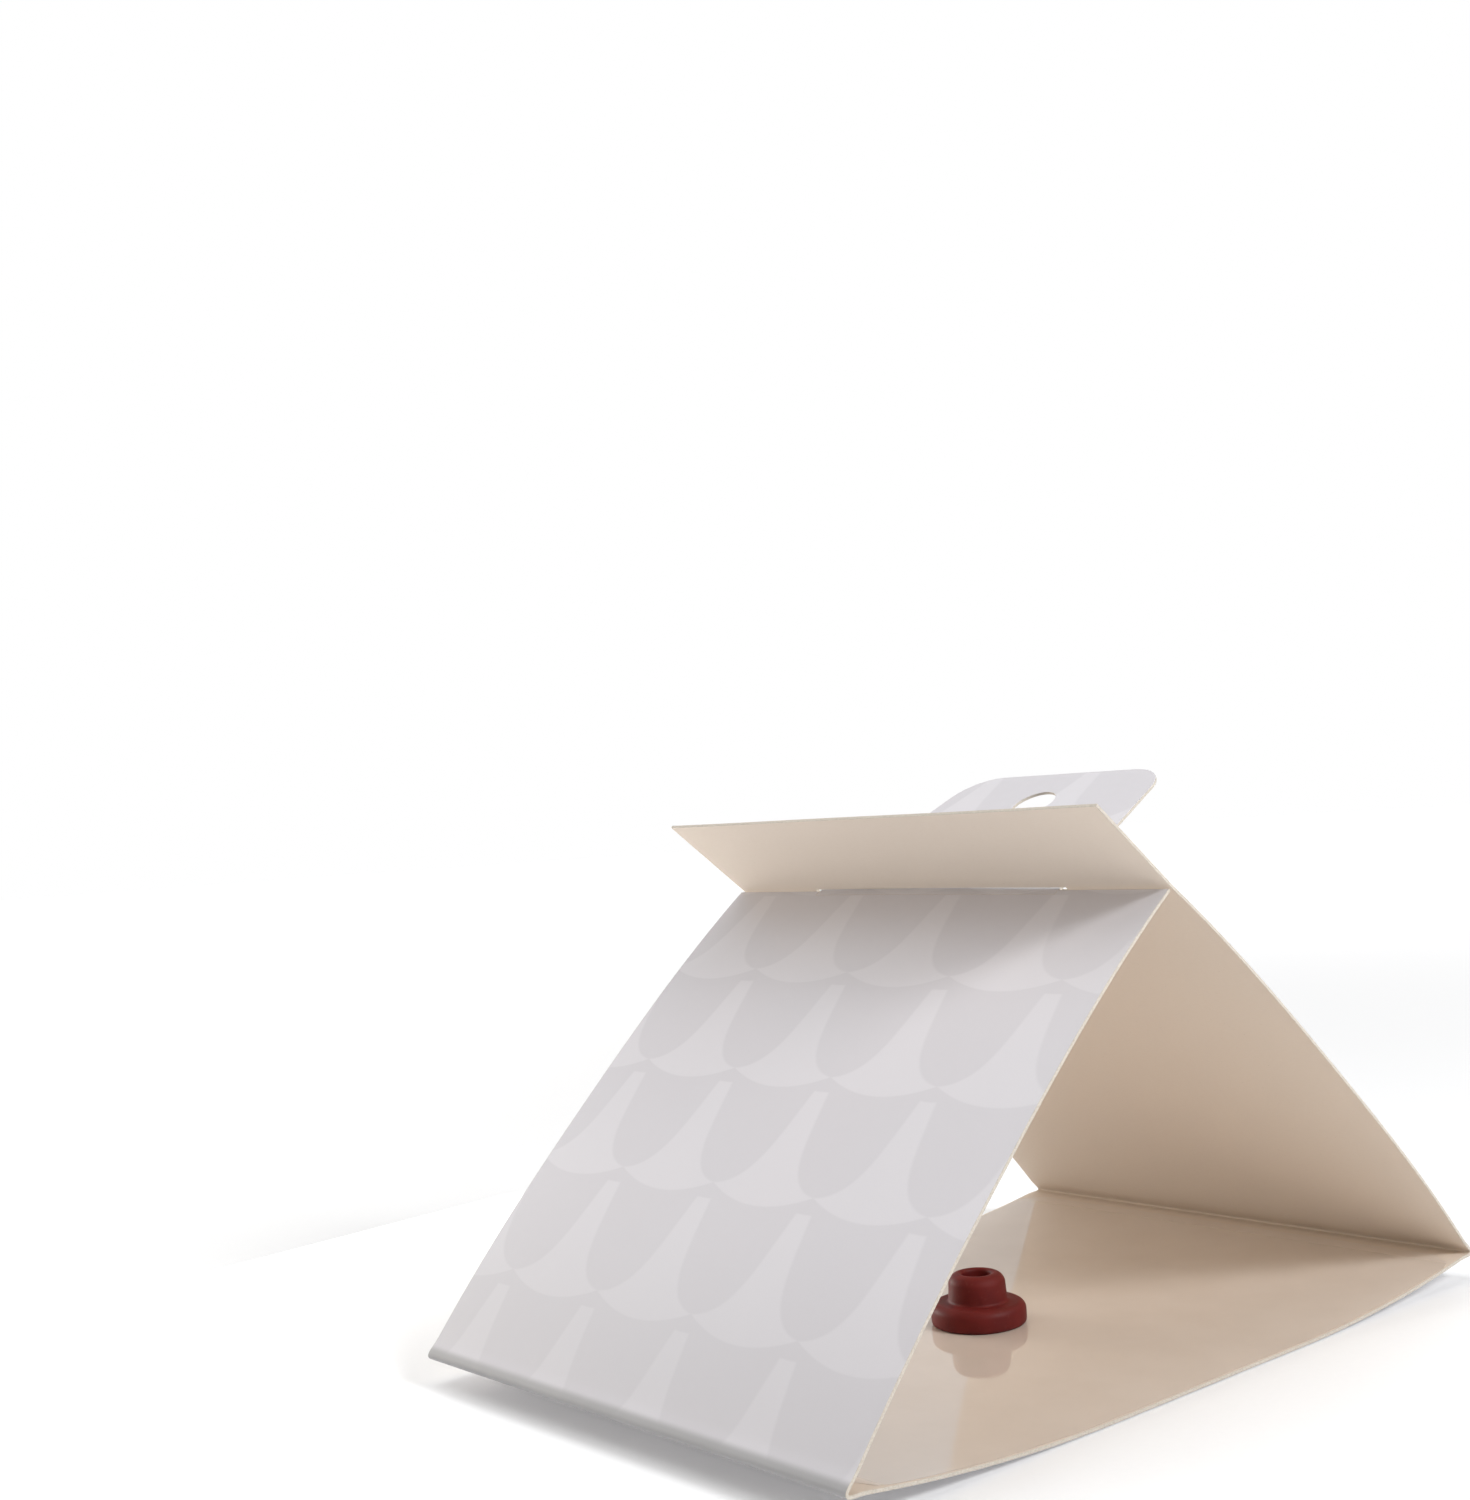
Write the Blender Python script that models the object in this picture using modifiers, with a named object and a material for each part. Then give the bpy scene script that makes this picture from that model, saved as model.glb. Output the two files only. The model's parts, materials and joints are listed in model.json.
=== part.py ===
"""Tent-shaped pheromone insect trap, folded from one die-cut card.

Units are metres. +Y runs along the ridge, from the front opening to the rear one, and +Z is up.
The origin is the middle of the trap's footprint, on the surface that it stands on.
The card is split at its creases: every crease is a rolled fold that the panels on either side turn about.
"""

import math

import bmesh
import bpy
from mathutils import Vector

MM = 0.001

# The card, measured crease to crease round the tent
DEPTH = 95.0 * MM
BOARD = 0.5 * MM
BASE_WIDTH = 145.2 * MM
LEFT_HEIGHT = 98.1 * MM
RIGHT_HEIGHT = 100.0 * MM
FLAP_HEIGHT = 20.4 * MM

# How far the springy card stands out from a flat panel
BASE_BOW = 4.0 * MM
SIDE_BOW = 2.4 * MM
BASE_FLAT_SHARE = 0.3
BASE_BOW_POWER = 2.0
SIDE_BOW_POWER = 2.6

# Rolled folds at the creases
FOLD_RADIUS = 0.8 * MM
TAB_FOLD_RADIUS = 0.4 * MM
GAP = 0.3 * MM

# The hang tab, which comes up through the slit in the ridge
TAB_ANGLE = math.radians(25.9)
TAB_FOLD_DROP = 1.3 * MM
TAB_LENGTH = 39.4 * MM
TAB_ROOT_HALF = 26.7 * MM
TAB_TOP_HALF = 21.6 * MM
TAB_CORNER_RADIUS = 8.0 * MM
HANG_HOLE_RADIUS = 4.0 * MM
HANG_HOLE_HEIGHT = 28.6 * MM
SLIT_HALF = 27.2 * MM

# The locking flap goes on past the ridge, bent a little from the right panel's plane
FLAP_BEND = math.radians(4.1)

# The tacky coat on the base
GLUE_THICKNESS = 0.2 * MM
GLUE_SIDE_MARGIN = 5.0 * MM
GLUE_END_MARGIN = 4.0 * MM

# The rubber lure, a hat-shaped septum that stands on the glue
LURE_X = 2.3 * MM
BRIM_RADIUS = 7.8 * MM
BRIM_HEIGHT = 3.6 * MM
BRIM_ROUND = 1.3 * MM
BRIM_FOOT_ROUND = 0.6 * MM
CROWN_FOOT_RADIUS = 4.8 * MM
CROWN_TOP_RADIUS = 4.4 * MM
CROWN_ROUND = 1.5 * MM
LURE_HEIGHT = 8.2 * MM
WELL_RADIUS = 2.4 * MM
WELL_DEPTH = 5.0 * MM
WELL_LIP = 0.4 * MM

# Places that follow from the sizes
RIDGE_FROM_LEFT = (LEFT_HEIGHT**2 + BASE_WIDTH**2 - RIGHT_HEIGHT**2) / (2 * BASE_WIDTH)
RIDGE_RISE = math.sqrt(LEFT_HEIGHT**2 - RIDGE_FROM_LEFT**2)
CREASE_Z = BASE_BOW + BOARD / 2
LEFT_CREASE = Vector((-BASE_WIDTH / 2, 0, CREASE_Z))
RIGHT_CREASE = Vector((BASE_WIDTH / 2, 0, CREASE_Z))
RIDGE = LEFT_CREASE + Vector((RIDGE_FROM_LEFT, 0, RIDGE_RISE))


def direction(angle):
    """The unit vector at an angle above +X, in the tent's cross-section."""
    return Vector((math.cos(angle), 0, math.sin(angle)))


def angle_of(vector):
    return math.atan2(vector.z, vector.x)


TAB_FOLD = RIDGE - TAB_FOLD_DROP * direction(TAB_ANGLE)
LEFT_ANGLE = angle_of(TAB_FOLD - LEFT_CREASE)
RIGHT_ANGLE = angle_of(RIDGE - RIGHT_CREASE)
FLAP_ANGLE = RIGHT_ANGLE + FLAP_BEND


def clear_scene():
    for thing in list(bpy.data.objects):
        bpy.data.objects.remove(thing, do_unlink=True)


def new_collection(name):
    collection = bpy.data.collections.new(name)
    bpy.context.scene.collection.children.link(collection)
    return collection


def make_material(name, colour, roughness):
    material = bpy.data.materials.new(name)
    material.use_nodes = True
    shader = material.node_tree.nodes["Principled BSDF"]
    shader.inputs["Base Color"].default_value = (*colour, 1.0)
    shader.inputs["Roughness"].default_value = roughness
    shader.inputs["Metallic"].default_value = 0.0
    return material


def place(data, name, collection, material, at, angle=0.0):
    """Puts mesh or curve data in the scene, with its own +X turned to an angle above world +X."""
    thing = bpy.data.objects.new(name, data)
    thing.location = at
    thing.rotation_euler = (0, -angle, 0)
    data.materials.append(material)
    collection.objects.link(thing)
    return thing


def side_bow(t):
    """The height of a side panel's bow, from 0 at its creases to 1 halfway."""
    return 1 - abs(2 * t - 1) ** SIDE_BOW_POWER


def base_bow(t):
    """The same for the base, which is flat in the middle, where the trap stands on it."""
    from_middle = abs(2 * t - 1)
    past_flat = max(0.0, from_middle - BASE_FLAT_SHARE) / (1 - BASE_FLAT_SHARE)
    return 1 - past_flat**BASE_BOW_POWER


def sheet_mesh(name, chord, start, end, half_depth, bow, shape, segments, lift=0.0):
    """An open sheet along +X from start to end, bowed along Z between creases that are a chord apart."""
    bm = bmesh.new()
    bmesh.ops.create_grid(bm, x_segments=segments, y_segments=1, size=0.5)
    for vertex in bm.verts:
        along = start + (vertex.co.x + 0.5) * (end - start)
        side = 2 * half_depth * vertex.co.y
        vertex.co = (along, side, bow * shape(along / chord) + lift)
    mesh = bpy.data.meshes.new(name)
    bm.to_mesh(mesh)
    bm.free()
    return mesh


def thicken(thing, thickness):
    modifier = thing.modifiers.new("board", "SOLIDIFY")
    modifier.thickness = thickness
    modifier.offset = 0.0
    modifier.use_even_offset = True
    return thing


def make_panel(name, collection, material, at, angle, chord, start, end, bow, shape, segments):
    mesh = sheet_mesh(name, chord, start, end, DEPTH / 2, bow, shape, segments)
    return thicken(place(mesh, name, collection, material, at, angle), BOARD)


def make_fold(name, collection, material, at, radius, y_from, y_to):
    """A rolled fold: a thin bead of card along Y, centred on the axis that the panels turn about."""
    bm = bmesh.new()
    bmesh.ops.create_cone(
        bm, cap_ends=True, segments=24, radius1=radius, radius2=radius, depth=y_to - y_from
    )
    for vertex in bm.verts:
        vertex.co = (vertex.co.x, -vertex.co.z + (y_from + y_to) / 2, vertex.co.y)
    mesh = bpy.data.meshes.new(name)
    bm.to_mesh(mesh)
    bm.free()
    mesh.shade_smooth()
    mesh.set_sharp_from_angle(angle=math.radians(40))
    return place(mesh, name, collection, material, at)


def arc(centre, radius, from_angle, to_angle, steps):
    """Points along an arc in a plane, both ends included."""
    points = []
    for i in range(steps + 1):
        turn = from_angle + (to_angle - from_angle) * i / steps
        points.append((centre[0] + radius * math.cos(turn), centre[1] + radius * math.sin(turn)))
    return points


def tab_outline(root):
    """The tab's outline: straight at the root, narrowing to a top with two round corners."""
    lean = math.atan2(TAB_ROOT_HALF - TAB_TOP_HALF, TAB_LENGTH)
    radius = TAB_CORNER_RADIUS
    # the corner's centre is one radius in from the top edge and from the leaning side
    centre_x = TAB_LENGTH - radius
    side_there = TAB_ROOT_HALF - centre_x * math.tan(lean)
    centre_y = side_there - radius / math.cos(lean)
    right = arc((centre_x, centre_y), radius, math.pi / 2 - lean, 0, 8)
    root_half = TAB_ROOT_HALF - root * math.tan(lean)
    right = [(root, root_half)] + right
    left = [(x, -y) for x, y in reversed(right)]
    return right + left


def add_loop(curve, points):
    spline = curve.splines.new("POLY")
    spline.points.add(len(points) - 1)
    for point, (x, y) in zip(spline.points, points):
        point.co = (x, y, 0, 1)
    spline.use_cyclic_u = True


def make_hang_tab(collection, material):
    curve = bpy.data.curves.new("hang_tab", "CURVE")
    curve.dimensions = "2D"
    curve.fill_mode = "BOTH"
    curve.extrude = BOARD / 2
    from_fold = TAB_FOLD_DROP  # the outline is measured from the ridge
    root = TAB_FOLD_RADIUS + GAP
    outline = [(x + from_fold, y) for x, y in tab_outline(root - from_fold)]
    hole = arc((HANG_HOLE_HEIGHT + from_fold, 0), HANG_HOLE_RADIUS, 0, 2 * math.pi, 40)[:-1]
    add_loop(curve, outline)
    add_loop(curve, hole)
    tab = place(curve, "hang_tab", collection, material, TAB_FOLD, TAB_ANGLE)
    weld = tab.modifiers.new("caps", "WELD")
    weld.merge_threshold = 0.00001
    return tab


def lure_profile():
    """Half of the lure's section: the well's floor and wall, the crown, the brim and the foot."""
    crown_slope = math.atan2(CROWN_FOOT_RADIUS - CROWN_TOP_RADIUS, LURE_HEIGHT - BRIM_HEIGHT)
    well_floor = LURE_HEIGHT - WELL_DEPTH
    points = [(0, well_floor), (WELL_RADIUS, well_floor)]
    lip = (WELL_RADIUS + WELL_LIP, LURE_HEIGHT - WELL_LIP)
    points += arc(lip, WELL_LIP, math.pi, math.pi / 2, 4)
    shoulder = (CROWN_TOP_RADIUS - CROWN_ROUND, LURE_HEIGHT - CROWN_ROUND)
    points += arc(shoulder, CROWN_ROUND, math.pi / 2, crown_slope, 8)
    points.append((CROWN_FOOT_RADIUS, BRIM_HEIGHT))
    rim = (BRIM_RADIUS - BRIM_ROUND, BRIM_HEIGHT - BRIM_ROUND)
    points += arc(rim, BRIM_ROUND, math.pi / 2, 0, 6)
    foot = (BRIM_RADIUS - BRIM_FOOT_ROUND, BRIM_FOOT_ROUND)
    points += arc(foot, BRIM_FOOT_ROUND, 0, -math.pi / 2, 4)
    points.append((0, 0))
    return points


def make_lure(collection, material):
    mesh = bpy.data.meshes.new("pheromone_lure")
    points = [(r, 0, z) for r, z in lure_profile()]
    mesh.from_pydata(points, [(i, i + 1) for i in range(len(points) - 1)], [])
    stands_at = BOARD + GAP + GLUE_THICKNESS + GAP
    lure = place(mesh, "pheromone_lure", collection, material, (LURE_X, 0, stands_at))
    turn = lure.modifiers.new("turned", "SCREW")
    turn.axis = "Z"
    turn.angle = 2 * math.pi
    turn.steps = turn.render_steps = 48
    turn.use_merge_vertices = True
    turn.merge_threshold = 0.00001
    return lure


def make_glue_coat(collection, material):
    lift = BOARD / 2 + GAP + GLUE_THICKNESS / 2
    mesh = sheet_mesh(
        "base_glue_coat",
        BASE_WIDTH,
        GLUE_SIDE_MARGIN,
        BASE_WIDTH - GLUE_SIDE_MARGIN,
        DEPTH / 2 - GLUE_END_MARGIN,
        -BASE_BOW,
        base_bow,
        40,
        lift,
    )
    return thicken(place(mesh, "base_glue_coat", collection, material, LEFT_CREASE), GLUE_THICKNESS)


def make_panels(collection, printed, plain):
    clear = FOLD_RADIUS + GAP
    tab_clear = TAB_FOLD_RADIUS + GAP
    left_chord = (TAB_FOLD - LEFT_CREASE).length
    make_panel("base_panel", collection, plain, LEFT_CREASE, 0, BASE_WIDTH,
               clear, BASE_WIDTH - clear, -BASE_BOW, base_bow, 40)
    make_panel("left_panel", collection, printed, LEFT_CREASE, LEFT_ANGLE, left_chord,
               clear, left_chord - tab_clear, SIDE_BOW, side_bow, 28)
    make_panel("right_panel", collection, plain, RIGHT_CREASE, RIGHT_ANGLE, RIGHT_HEIGHT,
               clear, RIGHT_HEIGHT - clear, -SIDE_BOW, side_bow, 28)
    make_panel("locking_flap", collection, plain, RIDGE, FLAP_ANGLE, FLAP_HEIGHT,
               clear, FLAP_HEIGHT, 0, side_bow, 1)


def make_folds(collection, material):
    front, rear = -DEPTH / 2, DEPTH / 2
    tab_root = TAB_ROOT_HALF
    make_fold("left_base_crease", collection, material, LEFT_CREASE, FOLD_RADIUS, front, rear)
    make_fold("right_base_crease", collection, material, RIGHT_CREASE, FOLD_RADIUS, front, rear)
    make_fold("ridge_crease_front", collection, material, RIDGE, FOLD_RADIUS, front, -SLIT_HALF)
    make_fold("ridge_crease_rear", collection, material, RIDGE, FOLD_RADIUS, SLIT_HALF, rear)
    make_fold("hang_tab_crease", collection, material, TAB_FOLD, TAB_FOLD_RADIUS, -tab_root, tab_root)


def main():
    clear_scene()
    collection = new_collection("pheromone_insect_trap")
    printed = make_material("printed_board", (0.62, 0.60, 0.63), 0.42)
    plain = make_material("plain_board", (0.60, 0.53, 0.45), 0.70)
    fold = make_material("folded_board", (0.66, 0.62, 0.56), 0.70)
    glue = make_material("tacky_glue", (0.66, 0.60, 0.52), 0.12)
    rubber = make_material("red_rubber", (0.13, 0.022, 0.018), 0.60)
    make_panels(collection, printed, plain)
    make_folds(collection, fold)
    make_hang_tab(collection, printed)
    make_glue_coat(collection, glue)
    make_lure(collection, rubber)


main()
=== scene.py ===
"""The looks of a tent-shaped pheromone insect trap: printed card, tacky glue and a rubber lure.

The card is made as curved sheets of real thickness along one path: hang tab, left panel, left fold,
base, right fold, right panel, ridge and locking flap. The tab's plate, the glue film and the lure ride on
their bodies.
"""

import json
import math

import bmesh
import bpy
import numpy as np
from mathutils import Matrix, Vector


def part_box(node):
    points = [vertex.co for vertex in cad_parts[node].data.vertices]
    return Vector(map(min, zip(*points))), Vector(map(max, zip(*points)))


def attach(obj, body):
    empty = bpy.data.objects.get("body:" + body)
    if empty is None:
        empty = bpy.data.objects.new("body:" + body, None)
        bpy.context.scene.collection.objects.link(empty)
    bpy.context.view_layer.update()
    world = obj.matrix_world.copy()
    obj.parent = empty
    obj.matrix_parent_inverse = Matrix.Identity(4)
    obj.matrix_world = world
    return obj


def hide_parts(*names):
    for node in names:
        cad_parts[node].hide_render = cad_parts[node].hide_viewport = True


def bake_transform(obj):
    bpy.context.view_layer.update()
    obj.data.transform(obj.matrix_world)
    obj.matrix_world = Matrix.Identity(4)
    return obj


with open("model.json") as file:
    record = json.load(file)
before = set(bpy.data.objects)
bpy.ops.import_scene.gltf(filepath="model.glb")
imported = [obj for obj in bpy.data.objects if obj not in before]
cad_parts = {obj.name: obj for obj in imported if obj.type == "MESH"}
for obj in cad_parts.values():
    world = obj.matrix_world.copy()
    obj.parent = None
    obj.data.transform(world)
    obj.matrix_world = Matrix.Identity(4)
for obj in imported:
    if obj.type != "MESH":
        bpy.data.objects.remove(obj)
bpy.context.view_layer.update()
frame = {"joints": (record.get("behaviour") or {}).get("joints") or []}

MM = 0.001

# Axes of the folds, as points of the cross-section (x, z)
JOINTS = {joint["name"]: joint for joint in frame["joints"]}


def section_point(joint):
    x, _, z = JOINTS[joint]["pos_m"]
    return np.array([x, z])


LEFT_CREASE = section_point("left_fold")
RIGHT_CREASE = section_point("right_fold")
RIDGE = section_point("locking_flap_fold")
TAB_FOLD = section_point("hang_tab_fold")

# The card
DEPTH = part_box("base_panel")[1][1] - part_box("base_panel")[0][1]
FRONT, REAR = -DEPTH / 2, DEPTH / 2
BOARD = 0.5 * MM
BASE_BOW = 4.0 * MM
SIDE_BOW = 2.4 * MM
BASE_FLAT_SHARE = 0.3
SIDE_BOW_POWER = 2.6
FLAP_HEIGHT = 20.4 * MM
FLAP_TILT = math.radians(4.1)
EDGE_ROUND = 0.06 * MM

# The hang tab and its slit
TAB_ANGLE = math.radians(25.9)
TAB_LENGTH = 39.4 * MM
TAB_ROOT_HALF = 26.7 * MM
TAB_TOP_HALF = 21.6 * MM
TAB_CORNER_RADIUS = 8.0 * MM
HANG_HOLE_RADIUS = 4.0 * MM
HANG_HOLE_HEIGHT = 28.6 * MM
SLIT_HALF = 28.0 * MM
SLIT_LIP = 0.55 * MM

# Folds: each is drawn from this far before its axis to this far after it
FOLD_REACH = 3.6 * MM
FOLD_ROUND = 0.6 * MM
FOLD_TURN_IN = 1.8 * MM
RIDGE_REACH = 3.2 * MM
TAB_FOLD_REACH = 1.3 * MM
LAND_OVERRUN = 0.4 * MM
TAB_ROOT_DROP = 0.6 * MM

GLUE_THICKNESS = 0.03 * MM
GLUE_GAP = 0.01 * MM
GLUE_END_MARGIN = 0.45 * MM
GLUE_CORNER = 5.0 * MM

# Metres of card to one unit of the "card" UV layer
UV_UNIT = 0.1

FLOOR_RADIUS = 3.0


def unit(vector):
    return vector / np.linalg.norm(vector)


def distance(a, b):
    return float(np.linalg.norm(b - a))


def heading(angle):
    return np.array([math.cos(angle), math.sin(angle)])


BASE_LONG = distance(LEFT_CREASE, RIGHT_CREASE)
LEFT_LONG = distance(TAB_FOLD, LEFT_CREASE)
RIGHT_LONG = distance(RIGHT_CREASE, RIDGE)
RIGHT_CREASE_V = BASE_LONG + 0.5 * MM


def side_bow(t):
    return 1 - abs(2 * t - 1) ** SIDE_BOW_POWER


def base_bow(t):
    past_flat = np.maximum(0.0, abs(2 * t - 1) - BASE_FLAT_SHARE) / (1 - BASE_FLAT_SHARE)
    return 1 - past_flat**2


# ---------------------------------------------------------------- paths in the cross-section


def bowed(start, end, bow, shape, s):
    """Points of a panel at the distances s along its chord.

    The card's outer side is on the right of the path, and the panel bows that way.
    """
    chord = end - start
    length = np.linalg.norm(chord)
    along = chord / length
    outward = np.array([along[1], -along[0]])
    return start + np.outer(s, along) + np.outer(bow * shape(s / length), outward)


def bezier(a, b, c, d, count):
    t = np.linspace(0, 1, count)[:, None]
    return a * (1 - t) ** 3 + 3 * b * t * (1 - t) ** 2 + 3 * c * t**2 * (1 - t) + d * t**3


def fold_path(before, after, tip, round_by, turn_in, count):
    """A rounded fold from the last point of one panel's path to the first of the next, by way of its tip."""
    into = unit(before[-1] - before[-2])
    out_of = unit(after[1] - after[0])
    across = unit(into + out_of)
    first = bezier(before[-1], tip - into * turn_in, tip - across * round_by, tip, count)
    second = bezier(tip, tip + across * round_by, tip + out_of * turn_in, after[0], count)
    return np.vstack([first, second[1:]])


def join(*paths):
    """One path from several that follow each other, without its repeated points."""
    points = [paths[0]]
    for path in paths[1:]:
        points.append(path[1:] if np.allclose(path[0], points[-1][-1]) else path)
    return np.vstack(points)


def lengths_along(path):
    steps = np.linalg.norm(np.diff(path, axis=0), axis=1)
    return np.concatenate([[0.0], np.cumsum(steps)])


def right_hand_normals(path):
    tangent = np.gradient(path, axis=0)
    tangent /= np.linalg.norm(tangent, axis=1)[:, None]
    return np.stack([tangent[:, 1], -tangent[:, 0]], axis=1)


# ---------------------------------------------------------------- sheets of card


def card_wave(y, v):
    """The card isn't quite flat: it stands out by up to a few tenths of a millimetre in long waves."""
    rise = 0.16 * math.sin(y / 0.021 + 0.7) * math.sin(v / 0.027 + 0.4)
    return (rise + 0.07 * math.sin(y / 0.011 - v / 0.019 + 2.1)) * MM


def columns(*marks):
    """Places across the card, evenly spread, with a column on each mark."""
    places = list(np.linspace(FRONT, REAR, 33))
    for mark in marks:
        nearest = min(range(1, len(places) - 1), key=lambda i: abs(places[i] - mark))
        places[nearest] = mark
    return sorted(places)


OUTER, INNER, CUT = range(3)


def sheet(name, path, across, starts_at, wave, materials, thickness=BOARD, missing=None, seams=()):
    """A closed sheet of card that follows a path, with a column of points at each place across.

    starts_at is the arc length along the whole card of the path's first point. missing(i, j) says which
    cells are cut away. Ends named in seams meet another sheet, so their edges stay sharp.
    """
    normals = right_hand_normals(path)
    v_at = lengths_along(path) + starts_at
    fade = wave(v_at)
    bm = bmesh.new()
    rows, cols = len(path), len(across)
    layers = {}
    for side, half in (("outer", thickness / 2), ("inner", -thickness / 2)):
        for i in range(rows):
            for j, y in enumerate(across):
                lift = half + fade[i] * card_wave(y, v_at[i])
                x, z = path[i] + normals[i] * lift
                layers[side, i, j] = bm.verts.new((x, y, z))
    kept = {
        (i, j)
        for i in range(rows - 1)
        for j in range(cols - 1)
        if missing is None or not missing(i, j)
    }
    uv = bm.loops.layers.uv.new("card")
    where = {vert: key for key, vert in layers.items()}

    def face(corners, material):
        made = bm.faces.new(corners)
        made.material_index = material
        for loop in made.loops:
            _, i, j = where[loop.vert]
            loop[uv].uv = (across[j] / UV_UNIT, v_at[i] / UV_UNIT)

    for i, j in sorted(kept):
        ring = [(i, j), (i, j + 1), (i + 1, j + 1), (i + 1, j)]
        face([layers["outer", *k] for k in ring], OUTER)
        face([layers["inner", *k] for k in reversed(ring)], INNER)
        beside = [(i - 1, j), (i, j + 1), (i + 1, j), (i, j - 1)]
        for number, other in enumerate(beside):
            if other in kept:
                continue
            a, b = ring[number], ring[(number + 1) % 4]
            face([layers["outer", *b], layers["outer", *a], layers["inner", *a], layers["inner", *b]], CUT)
    bmesh.ops.delete(bm, geom=[v for v in bm.verts if not v.link_faces], context="VERTS")
    round_cut_edges(bm, where, rows, seams, min(EDGE_ROUND, 0.3 * thickness))
    return finish_mesh(bm, name, materials)


def round_cut_edges(bm, where, rows, seams, round_by):
    """Takes the sharpness off the cut edges, but not off an end that meets another sheet."""

    def at_seam(vert):
        row = where[vert][1]
        return ("start" in seams and row == 0) or ("end" in seams and row == rows - 1)

    chosen = []
    for edge in bm.edges:
        if len(edge.link_faces) != 2:
            continue
        slots = {f.material_index for f in edge.link_faces}
        if CUT in slots and len(slots) == 2 and not all(at_seam(v) for v in edge.verts):
            chosen.append(edge)
    bmesh.ops.bevel(
        bm, geom=chosen, offset=round_by, segments=2, profile=0.5, affect="EDGES", material=CUT
    )


def finish_mesh(bm, name, materials, sharp=20):
    bmesh.ops.recalc_face_normals(bm, faces=bm.faces)
    mesh = bpy.data.meshes.new(name)
    bm.to_mesh(mesh)
    bm.free()
    mesh.shade_smooth()
    mesh.set_sharp_from_angle(angle=math.radians(sharp))
    for material in materials:
        mesh.materials.append(material)
    piece = bpy.data.objects.new(name, mesh)
    bpy.context.scene.collection.objects.link(piece)
    return piece


# ---------------------------------------------------------------- materials


class Nodes:
    """Short names for building a material's node tree."""

    def __init__(self, name):
        self.material = bpy.data.materials.new(name)
        self.material.use_nodes = True
        self.tree = self.material.node_tree
        self.shader = self.tree.nodes["Principled BSDF"]

    def put(self, socket, value):
        if isinstance(value, bpy.types.NodeSocket):
            self.tree.links.new(value, socket)
        else:
            socket.default_value = value

    def math(self, operation, a, b=None):
        node = self.tree.nodes.new("ShaderNodeMath")
        node.operation = operation
        for socket, value in zip(node.inputs, (a, b)):
            if value is not None:
                self.put(socket, value)
        return node.outputs[0]

    def spread(self, value, low, high, to_low=0.0, to_high=1.0):
        node = self.tree.nodes.new("ShaderNodeMapRange")
        node.interpolation_type = "SMOOTHSTEP"
        for key, number in (("Value", value), ("From Min", low), ("From Max", high)):
            self.put(node.inputs[key], number)
        node.inputs["To Min"].default_value = to_low
        node.inputs["To Max"].default_value = to_high
        return node.outputs[0]

    def mix(self, share, a, b):
        node = self.tree.nodes.new("ShaderNodeMix")
        node.data_type = "RGBA"
        self.put(node.inputs[0], share)
        for socket, colour in ((node.inputs[6], a), (node.inputs[7], b)):
            self.put(socket, colour if isinstance(colour, bpy.types.NodeSocket) else (*colour, 1.0))
        return node.outputs[2]

    def card_place(self):
        """Places on the card in metres: across it, and along it from the left fold."""
        node = self.tree.nodes.new("ShaderNodeUVMap")
        node.uv_map = "card"
        parts = self.tree.nodes.new("ShaderNodeSeparateXYZ")
        self.tree.links.new(node.outputs[0], parts.inputs[0])
        across = self.math("MULTIPLY", parts.outputs[0], UV_UNIT)
        along = self.math("MULTIPLY", parts.outputs[1], UV_UNIT)
        return node.outputs[0], across, along

    def from_creases(self, along):
        """Distances along the card from the left fold and from the right one."""
        return [
            self.math("ABSOLUTE", self.math("SUBTRACT", along, crease_v))
            for crease_v in (0.0, RIGHT_CREASE_V)
        ]

    def object_place(self):
        return self.tree.nodes.new("ShaderNodeTexCoord").outputs["Object"]

    def noise(self, place, scale, detail=3.0, stretch=(1, 1, 1), roughness=0.5):
        mapping = self.tree.nodes.new("ShaderNodeMapping")
        mapping.inputs["Scale"].default_value = stretch
        self.tree.links.new(place, mapping.inputs["Vector"])
        node = self.tree.nodes.new("ShaderNodeTexNoise")
        node.inputs["Scale"].default_value = scale
        node.inputs["Detail"].default_value = detail
        node.inputs["Roughness"].default_value = roughness
        self.tree.links.new(mapping.outputs[0], node.inputs["Vector"])
        return node.outputs[0]

    def bump(self, height, strength, distance, under=None):
        node = self.tree.nodes.new("ShaderNodeBump")
        node.inputs["Strength"].default_value = strength
        node.inputs["Distance"].default_value = distance
        self.tree.links.new(height, node.inputs["Height"])
        if under is not None:
            self.tree.links.new(under, node.inputs["Normal"])
        return node.outputs[0]


# The print: rows of scales, counted from the ridge
SCALE_PITCH = 22.2 * MM
SCALE_ROW = 20.6 * MM
SCALE_SAG = 2.7 * MM
FIRST_SCALE_Y = -28.1 * MM
FIRST_ROW_FROM_RIDGE = 1.5 * MM
LEFT_LENGTH = LEFT_LONG + 1.3 * MM
# A gap's half-width, in pitches: at its top, what it gains down its row, and its flare at the foot
GAP_TOP, GAP_GAIN, GAP_FLARE = 0.07, 0.15, 0.27
GAP_SOFTNESS = 0.017

# Along the folds the print is darkened grey with painted shade, fading between these distances
PAINTED_FOLD_SHADE = (0.9 * MM, 2.1 * MM)
# The printed side gets a little painted shade towards its folds, fading between these distances
PAINTED_FOLD_GRADIENT = (2.0 * MM, 34.0 * MM)
# The plain side gets brown painted shade near its folds, and darker painted shade in the crease itself
CREASE_PAINTED_SHADE = (0.5 * MM, 9.0 * MM)
CREASE_PAINTED_LINE = (0.3 * MM, 2.4 * MM)


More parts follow.
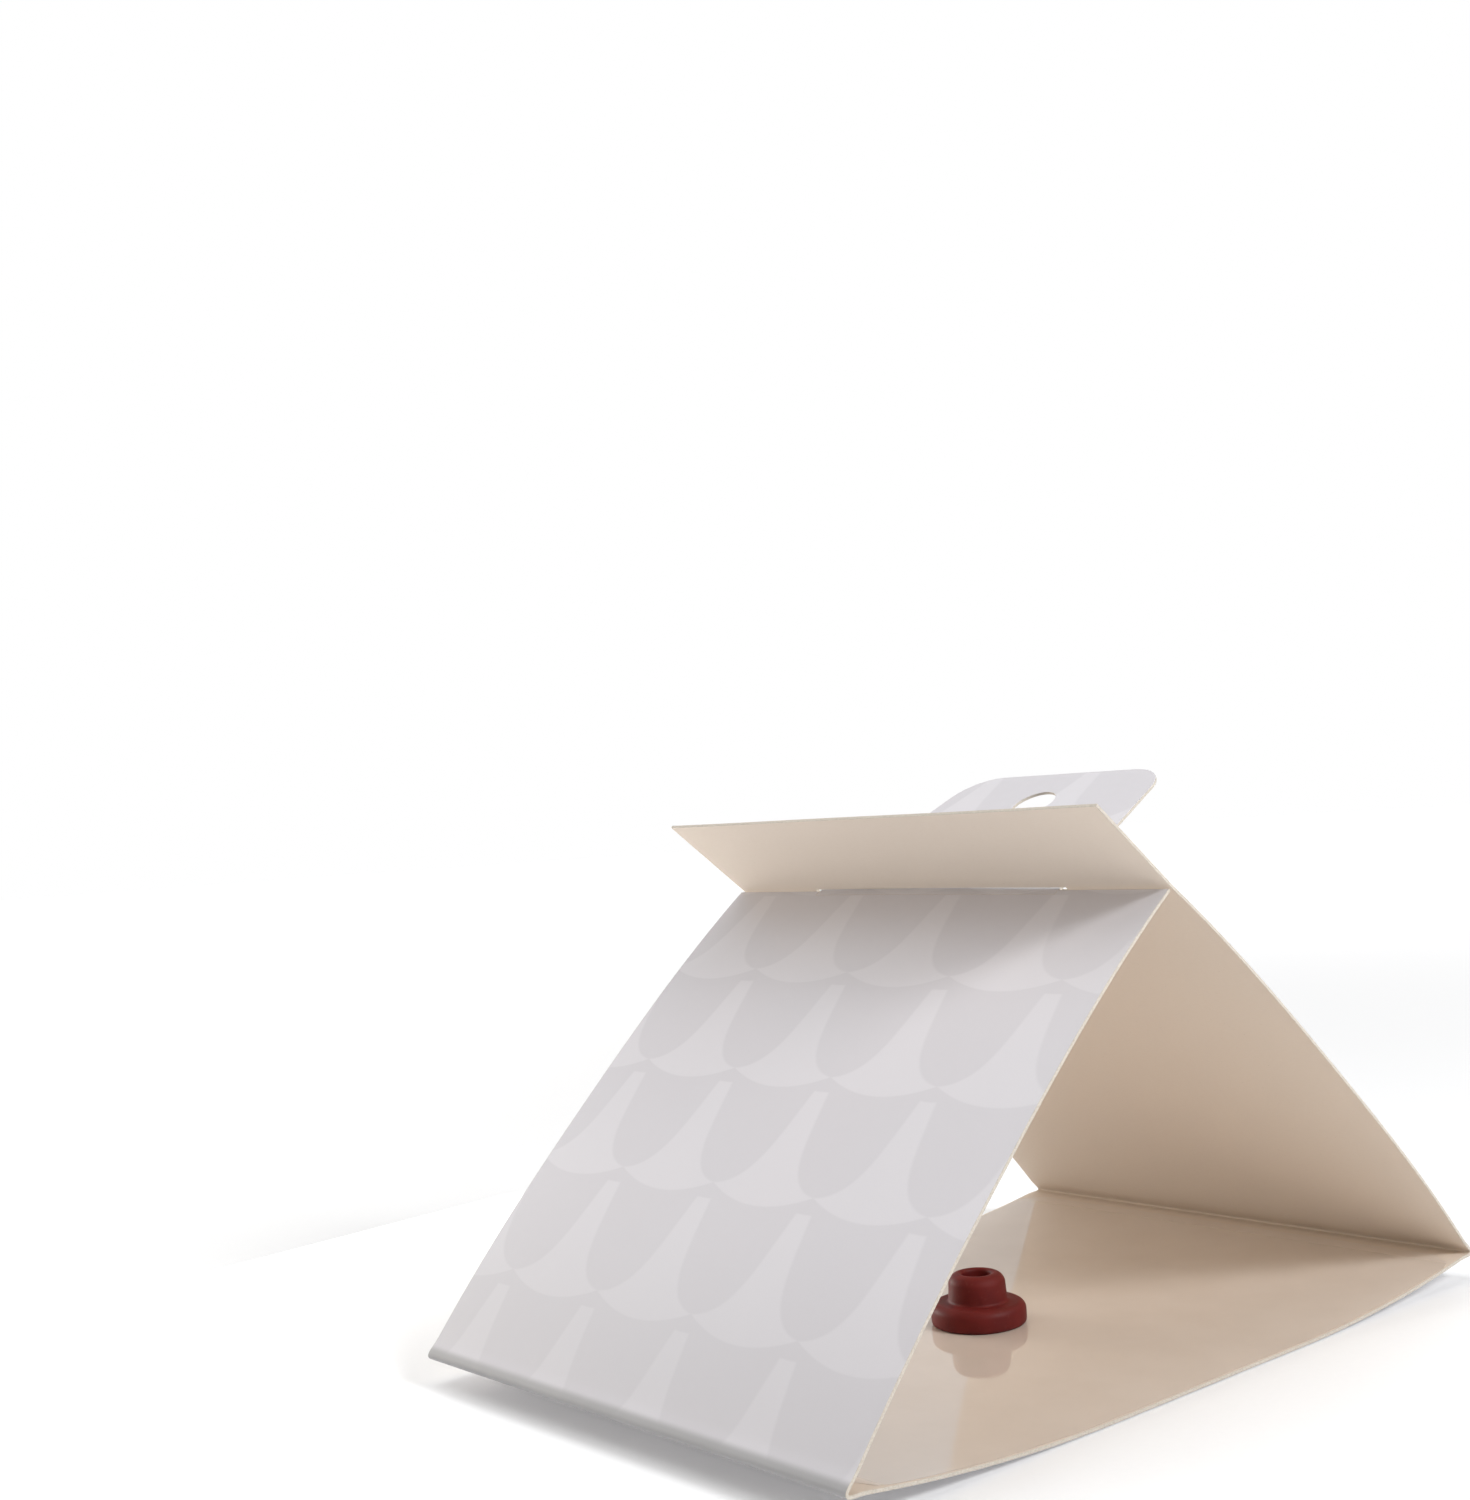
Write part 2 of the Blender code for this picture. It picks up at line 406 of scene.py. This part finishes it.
def scale_gaps(nodes, across, along):
    """1 in the pale gaps between rows of round-ended scales, 0 on the scales, in brick order."""
    from_ridge = nodes.math("ADD", along, LEFT_LENGTH - FIRST_ROW_FROM_RIDGE)
    gaps = []
    for shift in (0.0, 0.5):
        pitches = nodes.math("DIVIDE", nodes.math("SUBTRACT", across, FIRST_SCALE_Y), SCALE_PITCH)
        turn = nodes.math("ADD", pitches, shift + 0.5)
        offset = nodes.math("SUBTRACT", nodes.math("FRACT", turn), 0.5)
        from_middle = nodes.math("ABSOLUTE", offset)
        squared = nodes.math("POWER", nodes.math("MULTIPLY", from_middle, 2.0), 2.0)
        sag = nodes.math("MULTIPLY", squared, SCALE_SAG)
        down = nodes.math("DIVIDE", nodes.math("ADD", from_ridge, sag), 2 * SCALE_ROW)
        row_place = nodes.math("MULTIPLY", nodes.math("FRACT", nodes.math("ADD", down, -shift)), 2.0)
        half = nodes.math("ADD", GAP_TOP, nodes.math("MULTIPLY", row_place, GAP_GAIN))
        flare = nodes.math("MULTIPLY", nodes.math("POWER", row_place, 5.0), GAP_FLARE)
        half = nodes.math("ADD", half, flare)
        inside = nodes.spread(nodes.math("SUBTRACT", half, from_middle), -GAP_SOFTNESS, GAP_SOFTNESS)
        in_row = nodes.spread(row_place, 0.995, 1.015, 1.0, 0.0)
        starts = nodes.spread(row_place, 0.0, 0.02)
        gaps.append(nodes.math("MULTIPLY", nodes.math("MULTIPLY", inside, in_row), starts))
    return nodes.math("MAXIMUM", gaps[0], gaps[1])


def printed_board():
    """The coated outer side: a pale lilac grey print of overlapping scales, in two near tones."""
    n = Nodes("printed_board")
    place, across, along = n.card_place()
    gap = scale_gaps(n, across, along)
    mottle = n.noise(place, 2.6, 4.0)
    tone = n.mix(gap, (0.668, 0.643, 0.664), (0.728, 0.703, 0.724))
    cloud = n.spread(mottle, 0.3, 0.7, 0.0, 0.18)
    tone = n.mix(cloud, tone, (0.66, 0.665, 0.69))
    # painted shade: the print darkens a little towards both folds, and more in a narrow band at each fold
    for from_crease in n.from_creases(along):
        tone = n.mix(n.spread(from_crease, *PAINTED_FOLD_GRADIENT, 0.20, 0.0), tone, (0.42, 0.41, 0.415))
        tone = n.mix(n.spread(from_crease, *PAINTED_FOLD_SHADE, 0.85, 0.0), tone, (0.35, 0.345, 0.345))
    grain = n.noise(place, 420.0, 2.0)
    tone = n.mix(n.spread(grain, 0.35, 0.75, 0.0, 0.05), tone, (0.52, 0.50, 0.52))
    n.put(n.shader.inputs["Base Color"], tone)
    n.put(n.shader.inputs["Roughness"], n.spread(n.noise(place, 35.0, 3.0), 0.3, 0.7, 0.42, 0.52))
    n.shader.inputs["Specular IOR Level"].default_value = 0.42
    rough = n.bump(n.noise(place, 55.0, 3.0), 0.10, 0.0002)
    n.put(n.shader.inputs["Normal"], n.bump(grain, 0.06, 0.00004, rough))
    return n.material


def plain_board():
    """The uncoated inner side: cream stock with fibres and a few darker flecks."""
    n = Nodes("plain_board")
    place, _, along = n.card_place()
    fibres = n.noise(place, 90.0, 4.0, stretch=(1.0, 5.0, 1.0), roughness=0.6)
    tone = n.mix(n.spread(fibres, 0.3, 0.75, 0.0, 0.10), (0.725, 0.632, 0.540), (0.66, 0.53, 0.41))
    # painted shade: browner towards both folds, darkest in the crease line
    for from_crease in n.from_creases(along):
        tone = n.mix(n.spread(from_crease, *CREASE_PAINTED_SHADE, 0.20, 0.0), tone, (0.56, 0.44, 0.33))
        tone = n.mix(n.spread(from_crease, *CREASE_PAINTED_LINE, 0.50, 0.0), tone, (0.50, 0.41, 0.32))
    flecks = n.spread(n.noise(place, 240.0, 1.0), 0.74, 0.80)
    tone = n.mix(n.math("MULTIPLY", flecks, 0.25), tone, (0.40, 0.30, 0.22))
    n.put(n.shader.inputs["Base Color"], tone)
    n.put(n.shader.inputs["Roughness"], n.spread(fibres, 0.3, 0.7, 0.66, 0.80))
    n.shader.inputs["Specular IOR Level"].default_value = 0.3
    soft = n.bump(n.noise(place, 30.0, 2.0), 0.10, 0.0002)
    n.put(n.shader.inputs["Normal"], n.bump(fibres, 0.25, 0.00006, soft))
    return n.material


def cut_edge():
    """The cut edge, where the board's grey-cream plies show."""
    n = Nodes("cut_edge")
    place = n.object_place()
    torn = n.noise(place, 4200.0, 3.0)
    tone = n.mix(n.spread(torn, 0.35, 0.7), (0.67, 0.61, 0.53), (0.58, 0.52, 0.44))
    n.put(n.shader.inputs["Base Color"], tone)
    n.shader.inputs["Roughness"].default_value = 0.9
    n.put(n.shader.inputs["Normal"], n.bump(torn, 0.3, 0.00003))
    return n.material


def tacky_glue():
    """A clear wet film, so it shows the card's cream under a strong gloss."""
    n = Nodes("tacky_glue")
    place, _, along = n.card_place()
    pooled = n.noise(place, 9.0, 3.0)
    tone = n.mix(n.spread(pooled, 0.3, 0.7), (0.694, 0.609, 0.532), (0.672, 0.585, 0.507))
    for from_crease in n.from_creases(along):
        # painted shade: the film turns browner towards both folds
        tone = n.mix(n.spread(from_crease, *CREASE_PAINTED_SHADE, 0.20, 0.0), tone, (0.54, 0.43, 0.32))
    n.put(n.shader.inputs["Base Color"], tone)
    # the film thins out and turns dull towards the two folds
    from_fold = n.math("MINIMUM", *n.from_creases(along))
    dull = n.spread(from_fold, 3.0 * MM, 9.0 * MM, 0.6, 0.0)
    n.put(n.shader.inputs["Roughness"], n.math("ADD", n.spread(pooled, 0.3, 0.7, 0.04, 0.07), dull))
    n.shader.inputs["IOR"].default_value = 1.95
    ripples = n.noise(place, 38.0, 2.0)
    n.put(n.shader.inputs["Normal"], n.bump(ripples, 0.02, 0.0002))
    return n.material


def red_rubber():
    """Matt moulded rubber, dark red, with a dusty bloom where it has been handled."""
    n = Nodes("red_rubber")
    place = n.object_place()
    cloud = n.noise(place, 260.0, 4.0)
    tone = n.mix(n.spread(cloud, 0.3, 0.75), (0.110, 0.0085, 0.0075), (0.142, 0.0125, 0.0105))
    dust = n.spread(n.noise(place, 1400.0, 2.0), 0.60, 0.75, 0.0, 0.05)
    n.put(n.shader.inputs["Base Color"], n.mix(dust, tone, (0.36, 0.15, 0.12)))
    n.put(n.shader.inputs["Roughness"], n.spread(cloud, 0.3, 0.7, 0.50, 0.62))
    n.shader.inputs["Specular IOR Level"].default_value = 0.22
    grain = n.bump(n.noise(place, 2600.0, 2.0), 0.18, 0.00005)
    n.put(n.shader.inputs["Normal"], n.bump(cloud, 0.12, 0.0002, grain))
    return n.material


# ---------------------------------------------------------------- the card's pieces


def card_paths():
    """The mid-line of each stretch of the card, from the left panel's top round to the ridge."""
    base_places = np.linspace(FOLD_REACH, BASE_LONG - FOLD_REACH, 61)
    base = bowed(LEFT_CREASE, RIGHT_CREASE, BASE_BOW, base_bow, base_places)
    below_tab = np.linspace(TAB_ROOT_DROP, LEFT_LONG - FOLD_REACH, 46)
    left_places = np.concatenate([[-LAND_OVERRUN], below_tab])
    left = bowed(TAB_FOLD, LEFT_CREASE, SIDE_BOW, side_bow, left_places)
    right_places = np.linspace(FOLD_REACH, RIGHT_LONG - RIDGE_REACH, 46)
    right = bowed(RIGHT_CREASE, RIDGE, SIDE_BOW, side_bow, right_places)
    left_fold = fold_path(left, base, LEFT_CREASE, FOLD_ROUND, FOLD_TURN_IN, 13)
    right_fold = fold_path(base, right, RIGHT_CREASE, FOLD_ROUND, FOLD_TURN_IN, 13)
    return left, left_fold, base, right_fold, right


def no_wave(v):
    return np.zeros_like(v)


def side_wave(v):
    """Full waves on the side panels, none on the base or at its folds."""
    outside = np.maximum(-v, v - BASE_LONG)
    return np.clip((outside - 0.006) / 0.02, 0, 1)


def make_left_side(paths, materials):
    """The left panel and its fold. Returns the point and the arc length that the tab's root starts from."""
    left, left_fold, base, _, _ = paths
    path = join(left, left_fold)
    starts_at = -lengths_along(path)[-1] + FOLD_REACH
    across = columns(-TAB_ROOT_HALF, TAB_ROOT_HALF)
    tab_row = 1

    def missing(i, j):
        middle = (across[j] + across[j + 1]) / 2
        return i < tab_row and abs(middle) < TAB_ROOT_HALF

    piece = sheet(
        "card_left_panel", path, across, starts_at, side_wave, materials, missing=missing, seams=("end",)
    )
    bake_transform(piece)
    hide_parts("left_panel", "left_base_crease")
    return path[tab_row], starts_at + lengths_along(path)[tab_row]


def make_base_and_right(paths, materials):
    """The base, the right fold and the right panel. Returns the arc length that the flap starts at."""
    _, _, base, right_fold, right = paths
    path = join(base, right_fold, right)
    across = columns(-SLIT_HALF, SLIT_HALF)
    piece = sheet(
        "card_base_and_right_panel", path, across, FOLD_REACH, side_wave, materials, seams=("start", "end")
    )
    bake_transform(piece)
    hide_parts("base_panel", "right_panel", "right_base_crease")
    return FOLD_REACH + lengths_along(path)[-1]


def make_flap(starts_at, materials):
    """The top of the right panel, the ridge with its slit, and the locking flap."""
    flap_angle = math.atan2(*(RIDGE - RIGHT_CREASE)[::-1]) + FLAP_TILT
    along = heading(flap_angle)
    lower_places = np.linspace(RIGHT_LONG - RIDGE_REACH, RIGHT_LONG - SLIT_LIP, 5)
    lower = bowed(RIGHT_CREASE, RIDGE, SIDE_BOW, side_bow, lower_places)
    upper = RIDGE + np.outer(np.linspace(SLIT_LIP, FLAP_HEIGHT, 14), along)
    near_ridge = 0.2 * MM
    before_ridge = RIDGE - unit(RIDGE - lower[-1]) * near_ridge
    over = bezier(lower[-1], before_ridge, RIDGE - along * near_ridge, upper[0], 7)
    path = join(lower, over, upper)
    across = columns(-SLIT_HALF, SLIT_HALF)

    def missing(i, j):
        middle = (across[j] + across[j + 1]) / 2
        return len(lower) - 1 <= i < len(lower) + len(over) - 2 and abs(middle) < SLIT_HALF

    piece = sheet(
        "card_locking_flap", path, across, starts_at, side_wave, materials, missing=missing, seams=("start",)
    )
    # most of the bend is past the slit's edge, which so stays clear of the tab's root
    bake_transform(piece)
    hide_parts("locking_flap", "ridge_crease_front", "ridge_crease_rear")


def tab_outline(root):
    """The tab's outline: straight leaning sides and two round corners at the top."""
    lean = math.atan2(TAB_ROOT_HALF - TAB_TOP_HALF, TAB_LENGTH)
    centre_x = TAB_LENGTH - TAB_CORNER_RADIUS
    centre_y = TAB_ROOT_HALF - centre_x * math.tan(lean) - TAB_CORNER_RADIUS / math.cos(lean)
    side = [(root, TAB_ROOT_HALF - root * math.tan(lean))]
    for i in range(17):
        turn = (math.pi / 2 - lean) * (1 - i / 16)
        x = centre_x + TAB_CORNER_RADIUS * math.cos(turn)
        side.append((x, centre_y + TAB_CORNER_RADIUS * math.sin(turn)))
    return side + [(x, -y) for x, y in reversed(side)]


def make_tab(left_top, v_top, materials):
    """The tab's root bends out of the left panel and through the slit; its plate has the hang hole."""
    along = heading(TAB_ANGLE)
    root_end = TAB_FOLD + along * TAB_FOLD_REACH
    into = unit(TAB_FOLD - left_top)
    # the path runs down the tab towards the left panel, so that its outer side is on the right
    path = bezier(root_end, root_end - along * 0.7 * MM, left_top + into * 0.5 * MM, left_top, 9)
    starts_at = v_top - lengths_along(path)[-1]
    across = list(np.linspace(-TAB_ROOT_HALF, TAB_ROOT_HALF, 17))
    root = sheet("card_tab_root", path, across, starts_at, side_wave, materials, seams=("start", "end"))
    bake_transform(root)
    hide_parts("hang_tab_crease")

    plate_root = TAB_FOLD_REACH - distance(TAB_FOLD, RIDGE)
    curve = bpy.data.curves.new("card_hang_tab", "CURVE")
    curve.dimensions = "2D"
    curve.fill_mode = "BOTH"
    curve.extrude = BOARD / 2 - EDGE_ROUND
    curve.bevel_depth = EDGE_ROUND
    curve.bevel_resolution = 1
    curve.offset = -EDGE_ROUND
    hole = [
        (HANG_HOLE_HEIGHT + HANG_HOLE_RADIUS * math.cos(t), HANG_HOLE_RADIUS * math.sin(t))
        for t in np.linspace(0, 2 * math.pi, 73)[:-1]
    ]
    for loop in (tab_outline(plate_root), hole):
        spline = curve.splines.new("POLY")
        spline.points.add(len(loop) - 1)
        for point, (x, y) in zip(spline.points, loop):
            point.co = (x, y, 0, 1)
        spline.use_cyclic_u = True
    shape = bpy.data.objects.new("tab_shape", curve)
    bpy.context.scene.collection.objects.link(shape)
    bpy.context.view_layer.update()
    mesh = bpy.data.meshes.new_from_object(shape.evaluated_get(bpy.context.evaluated_depsgraph_get()))
    bpy.data.objects.remove(shape, do_unlink=True)
    bm = bmesh.new()
    bm.from_mesh(mesh)
    bmesh.ops.remove_doubles(bm, verts=bm.verts, dist=1e-7)
    uv = bm.loops.layers.uv.new("card")
    bm.normal_update()
    for face in bm.faces:
        up = face.normal.z
        face.material_index = OUTER if up > 0.9 else INNER if up < -0.9 else CUT
        for loop in face.loops:
            x, y, _ = loop.vert.co
            loop[uv].uv = (y / UV_UNIT, (starts_at - (x - plate_root)) / UV_UNIT)
    plate = finish_mesh(bm, "card_hang_tab", materials)
    at_ridge = Matrix.Translation((RIDGE[0], 0, RIDGE[1]))
    plate.matrix_world = at_ridge @ Matrix.Rotation(-TAB_ANGLE, 4, "Y")
    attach(plate, "tab")
    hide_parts("hang_tab")


def make_glue(paths):
    """The glue film on the base: a thin sheet with round corners and a slightly uneven edge."""
    material = tacky_glue()
    lift = BOARD / 2 + GLUE_GAP + GLUE_THICKNESS / 2
    base = paths[2]
    path = base - right_hand_normals(base) * lift
    half = DEPTH / 2 - GLUE_END_MARGIN
    across = list(np.linspace(-half, half, 41))
    piece = sheet(
        "glue_film", path, across, FOLD_REACH, no_wave, (material,) * 3, thickness=GLUE_THICKNESS
    )
    for vertex in piece.data.vertices:
        x, y = vertex.co.x, vertex.co.y
        from_side = min(x - path[0][0], path[-1][0] - x)
        narrowed = max(0.0, 1 - from_side / GLUE_CORNER)
        keep = 1 - (GLUE_CORNER / half) * (1 - math.sqrt(max(0.0, 1 - narrowed**2)))
        wander = 0.10 * MM * math.sin(x / 0.0062) + 0.05 * MM * math.sin(x / 0.0023 + 1.0)
        edge = (abs(y) / half) ** 12
        vertex.co.y = y * keep + math.copysign(edge * wander, y)
    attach(piece, "base")
    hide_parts("base_glue_coat")


# ---------------------------------------------------------------- the lure


def arc(centre, radius, from_angle, to_angle, steps):
    turns = np.linspace(from_angle, to_angle, steps + 1)
    return [(centre[0] + radius * math.cos(t), centre[1] + radius * math.sin(t)) for t in turns]


def lure_profile():
    """Half of the septum's section in millimetres, from the well's floor over the crown to the foot."""
    points = [(0, 3.1), (1.2, 3.12)]
    points += arc((1.75, 3.75), 0.6, -math.pi / 2, 0, 5)
    points += [(2.38, 5.5), (2.42, 7.2)]
    points += arc((2.92, 7.65), 0.5, math.pi, math.pi / 2, 6)
    points += arc((2.95, 6.45), 1.72, math.pi / 2, 0.09, 12)
    points += [(4.72, 5.6), (4.78, 4.7)]
    points += arc((5.28, 4.1), 0.48, math.pi, 1.5 * math.pi, 5)
    points += [(6.0, 3.6)]
    points += arc((6.45, 2.25), 1.35, math.pi / 2, 0.12, 9)
    points += [(7.8, 1.75), (7.79, 1.2)]
    points += arc((7.1, 0.68), 0.68, 0, -math.pi / 2, 6)
    points += [(5.4, 0.0), (5.0, 0.12), (0, 0.12)]
    return points


def make_lure():
    """The lure: its profile spun round, then pressed a little out of round."""
    low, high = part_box("pheromone_lure")
    centre = ((low[0] + high[0]) / 2, (low[1] + high[1]) / 2)
    top_of_glue = BOARD + GLUE_THICKNESS
    bm = bmesh.new()
    verts = [bm.verts.new((r * MM, 0, z * MM)) for r, z in lure_profile()]
    edges = [bm.edges.new(pair) for pair in zip(verts, verts[1:])]
    bmesh.ops.spin(
        bm, geom=verts + edges, cent=(0, 0, 0), axis=(0, 0, 1), angle=2 * math.pi, steps=96, use_merge=True
    )
    bmesh.ops.remove_doubles(bm, verts=bm.verts, dist=1e-6)
    for vert in bm.verts:
        turn = math.atan2(vert.co.y, vert.co.x)
        squash = 1 + 0.006 * math.sin(2 * turn + 0.6) + 0.003 * math.sin(5 * turn)
        vert.co.x *= squash
        vert.co.y *= squash
    lure = finish_mesh(bm, "rubber_lure", (red_rubber(),), sharp=50)
    lure.location = (*centre, top_of_glue)
    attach(lure, "lure")
    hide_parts("pheromone_lure")


# ---------------------------------------------------------------- floor, light and camera


def make_floor():
    """A round pale floor with a painted glow that grows towards its rim, where it meets the white
    background.
    """
    bm = bmesh.new()
    bmesh.ops.create_circle(bm, cap_ends=True, radius=FLOOR_RADIUS, segments=96)
    n = Nodes("pale_floor")
    place = n.object_place()
    length = n.tree.nodes.new("ShaderNodeVectorMath")
    length.operation = "LENGTH"
    n.tree.links.new(place, length.inputs[0])
    speck = n.spread(n.noise(place, 900.0, 2.0), 0.3, 0.7, 0.0, 0.2)
    n.put(n.shader.inputs["Base Color"], n.mix(speck, (0.83, 0.83, 0.83), (0.79, 0.79, 0.79)))
    n.shader.inputs["Roughness"].default_value = 0.9
    n.shader.inputs["Specular IOR Level"].default_value = 0.1
    n.shader.inputs["Emission Color"].default_value = (1.0, 1.0, 1.0, 1.0)
    glow = n.spread(length.outputs["Value"], 0.15, 1.2, 0.14, 0.76)
    n.put(n.shader.inputs["Emission Strength"], glow)
    floor = finish_mesh(bm, "studio_floor", (n.material,))
    floor.location.z = -0.2 * MM


LIGHT_TARGET = (0, 0, 0.04)


def add_area_light(name, azimuth, elevation, away, size, power, colour):
    """A square soft light that faces the trap. Azimuth is from +X towards +Y."""
    a, e = math.radians(azimuth), math.radians(elevation)
    towards = Vector((math.cos(e) * math.cos(a), math.cos(e) * math.sin(a), math.sin(e)))
    data = bpy.data.lights.new(name, "AREA")
    data.shape = "SQUARE"
    data.size = size
    data.energy = power
    data.color = colour
    lamp = bpy.data.objects.new(name, data)
    lamp.location = Vector(LIGHT_TARGET) + towards * away
    lamp.rotation_mode = "QUATERNION"
    lamp.rotation_quaternion = towards.to_track_quat("Z", "Y")
    lamp.visible_camera = False
    bpy.context.scene.collection.objects.link(lamp)


def make_world():
    """A white background to look at; as light it is dim in front and brighter behind the trap."""
    world = bpy.data.worlds.new("studio")
    world.use_nodes = True
    tree = world.node_tree
    seen = tree.nodes["Background"]
    seen.inputs["Color"].default_value = (1.0, 1.0, 1.0, 1.0)
    seen.inputs["Strength"].default_value = 1.0
    light = tree.nodes.new("ShaderNodeBackground")
    light.inputs["Color"].default_value = (0.985, 0.99, 1.0, 1.0)
    direction = tree.nodes.new("ShaderNodeTexCoord").outputs["Generated"]
    towards_rear = tree.nodes.new("ShaderNodeVectorMath")
    towards_rear.operation = "DOT_PRODUCT"
    towards_rear.inputs[1].default_value = (0.55, 0.75, 0.36)
    tree.links.new(direction, towards_rear.inputs[0])
    ramp = tree.nodes.new("ShaderNodeMapRange")
    ramp.inputs["From Min"].default_value = -0.1
    ramp.inputs["From Max"].default_value = 0.8
    ramp.inputs["To Min"].default_value = 0.05
    ramp.inputs["To Max"].default_value = 0.66
    tree.links.new(towards_rear.outputs["Value"], ramp.inputs["Value"])
    tree.links.new(ramp.outputs[0], light.inputs["Strength"])
    path = tree.nodes.new("ShaderNodeLightPath")
    mix = tree.nodes.new("ShaderNodeMixShader")
    tree.links.new(path.outputs["Is Camera Ray"], mix.inputs[0])
    tree.links.new(light.outputs[0], mix.inputs[1])
    tree.links.new(seen.outputs[0], mix.inputs[2])
    tree.links.new(mix.outputs[0], tree.nodes["World Output"].inputs["Surface"])
    bpy.context.scene.world = world


def make_lights():
    add_area_light("key", -80, 36, 0.9, 0.26, 5.7, (0.975, 0.985, 1.0))
    add_area_light("top", 150, 74, 1.1, 1.0, 5.9, (0.985, 0.99, 1.0))
    add_area_light("rear", 107, 5, 0.8, 0.42, 3.4, (1.0, 0.93, 0.84))
    # a small soft one close behind the rear opening, for the glow that fades towards the front
    add_area_light("rear_glow", 98, 0, 0.16, 0.08, 0.065, (1.0, 0.96, 0.92))


def make_camera():
    """The photograph's view: low, from the left of the front opening, with the picture rolled a little."""
    place = (-0.23108, -0.22144, 0.08880)
    azimuth, elevation, roll = (math.radians(a) for a in (-40.476, -1.367, 3.714))
    back = Vector((
        math.sin(azimuth) * math.cos(elevation),
        -math.cos(azimuth) * math.cos(elevation),
        math.sin(elevation),
    ))
    level = (-back).cross(Vector((0, 0, 1))).normalized()
    upright = level.cross(-back)
    up = upright * math.cos(roll) + level * math.sin(roll)
    right = level * math.cos(roll) - upright * math.sin(roll)
    data = bpy.data.cameras.new("camera")
    data.sensor_width = 36.0
    data.lens = 46.68
    camera = bpy.data.objects.new("camera", data)
    turned = Matrix((right, up, back)).transposed().to_4x4()
    camera.matrix_world = Matrix.Translation(place) @ turned
    bpy.context.scene.collection.objects.link(camera)
    bpy.context.scene.camera = camera


def main():
    make_camera()
    bpy.context.scene.view_settings.view_transform = "Standard"
    materials = (printed_board(), plain_board(), cut_edge())
    paths = card_paths()
    left_top, v_top = make_left_side(paths, materials)
    ridge_v = make_base_and_right(paths, materials)
    make_flap(ridge_v, materials)
    make_tab(left_top, v_top, materials)
    make_glue(paths)
    make_lure()
    make_floor()
    make_world()
    make_lights()


main()
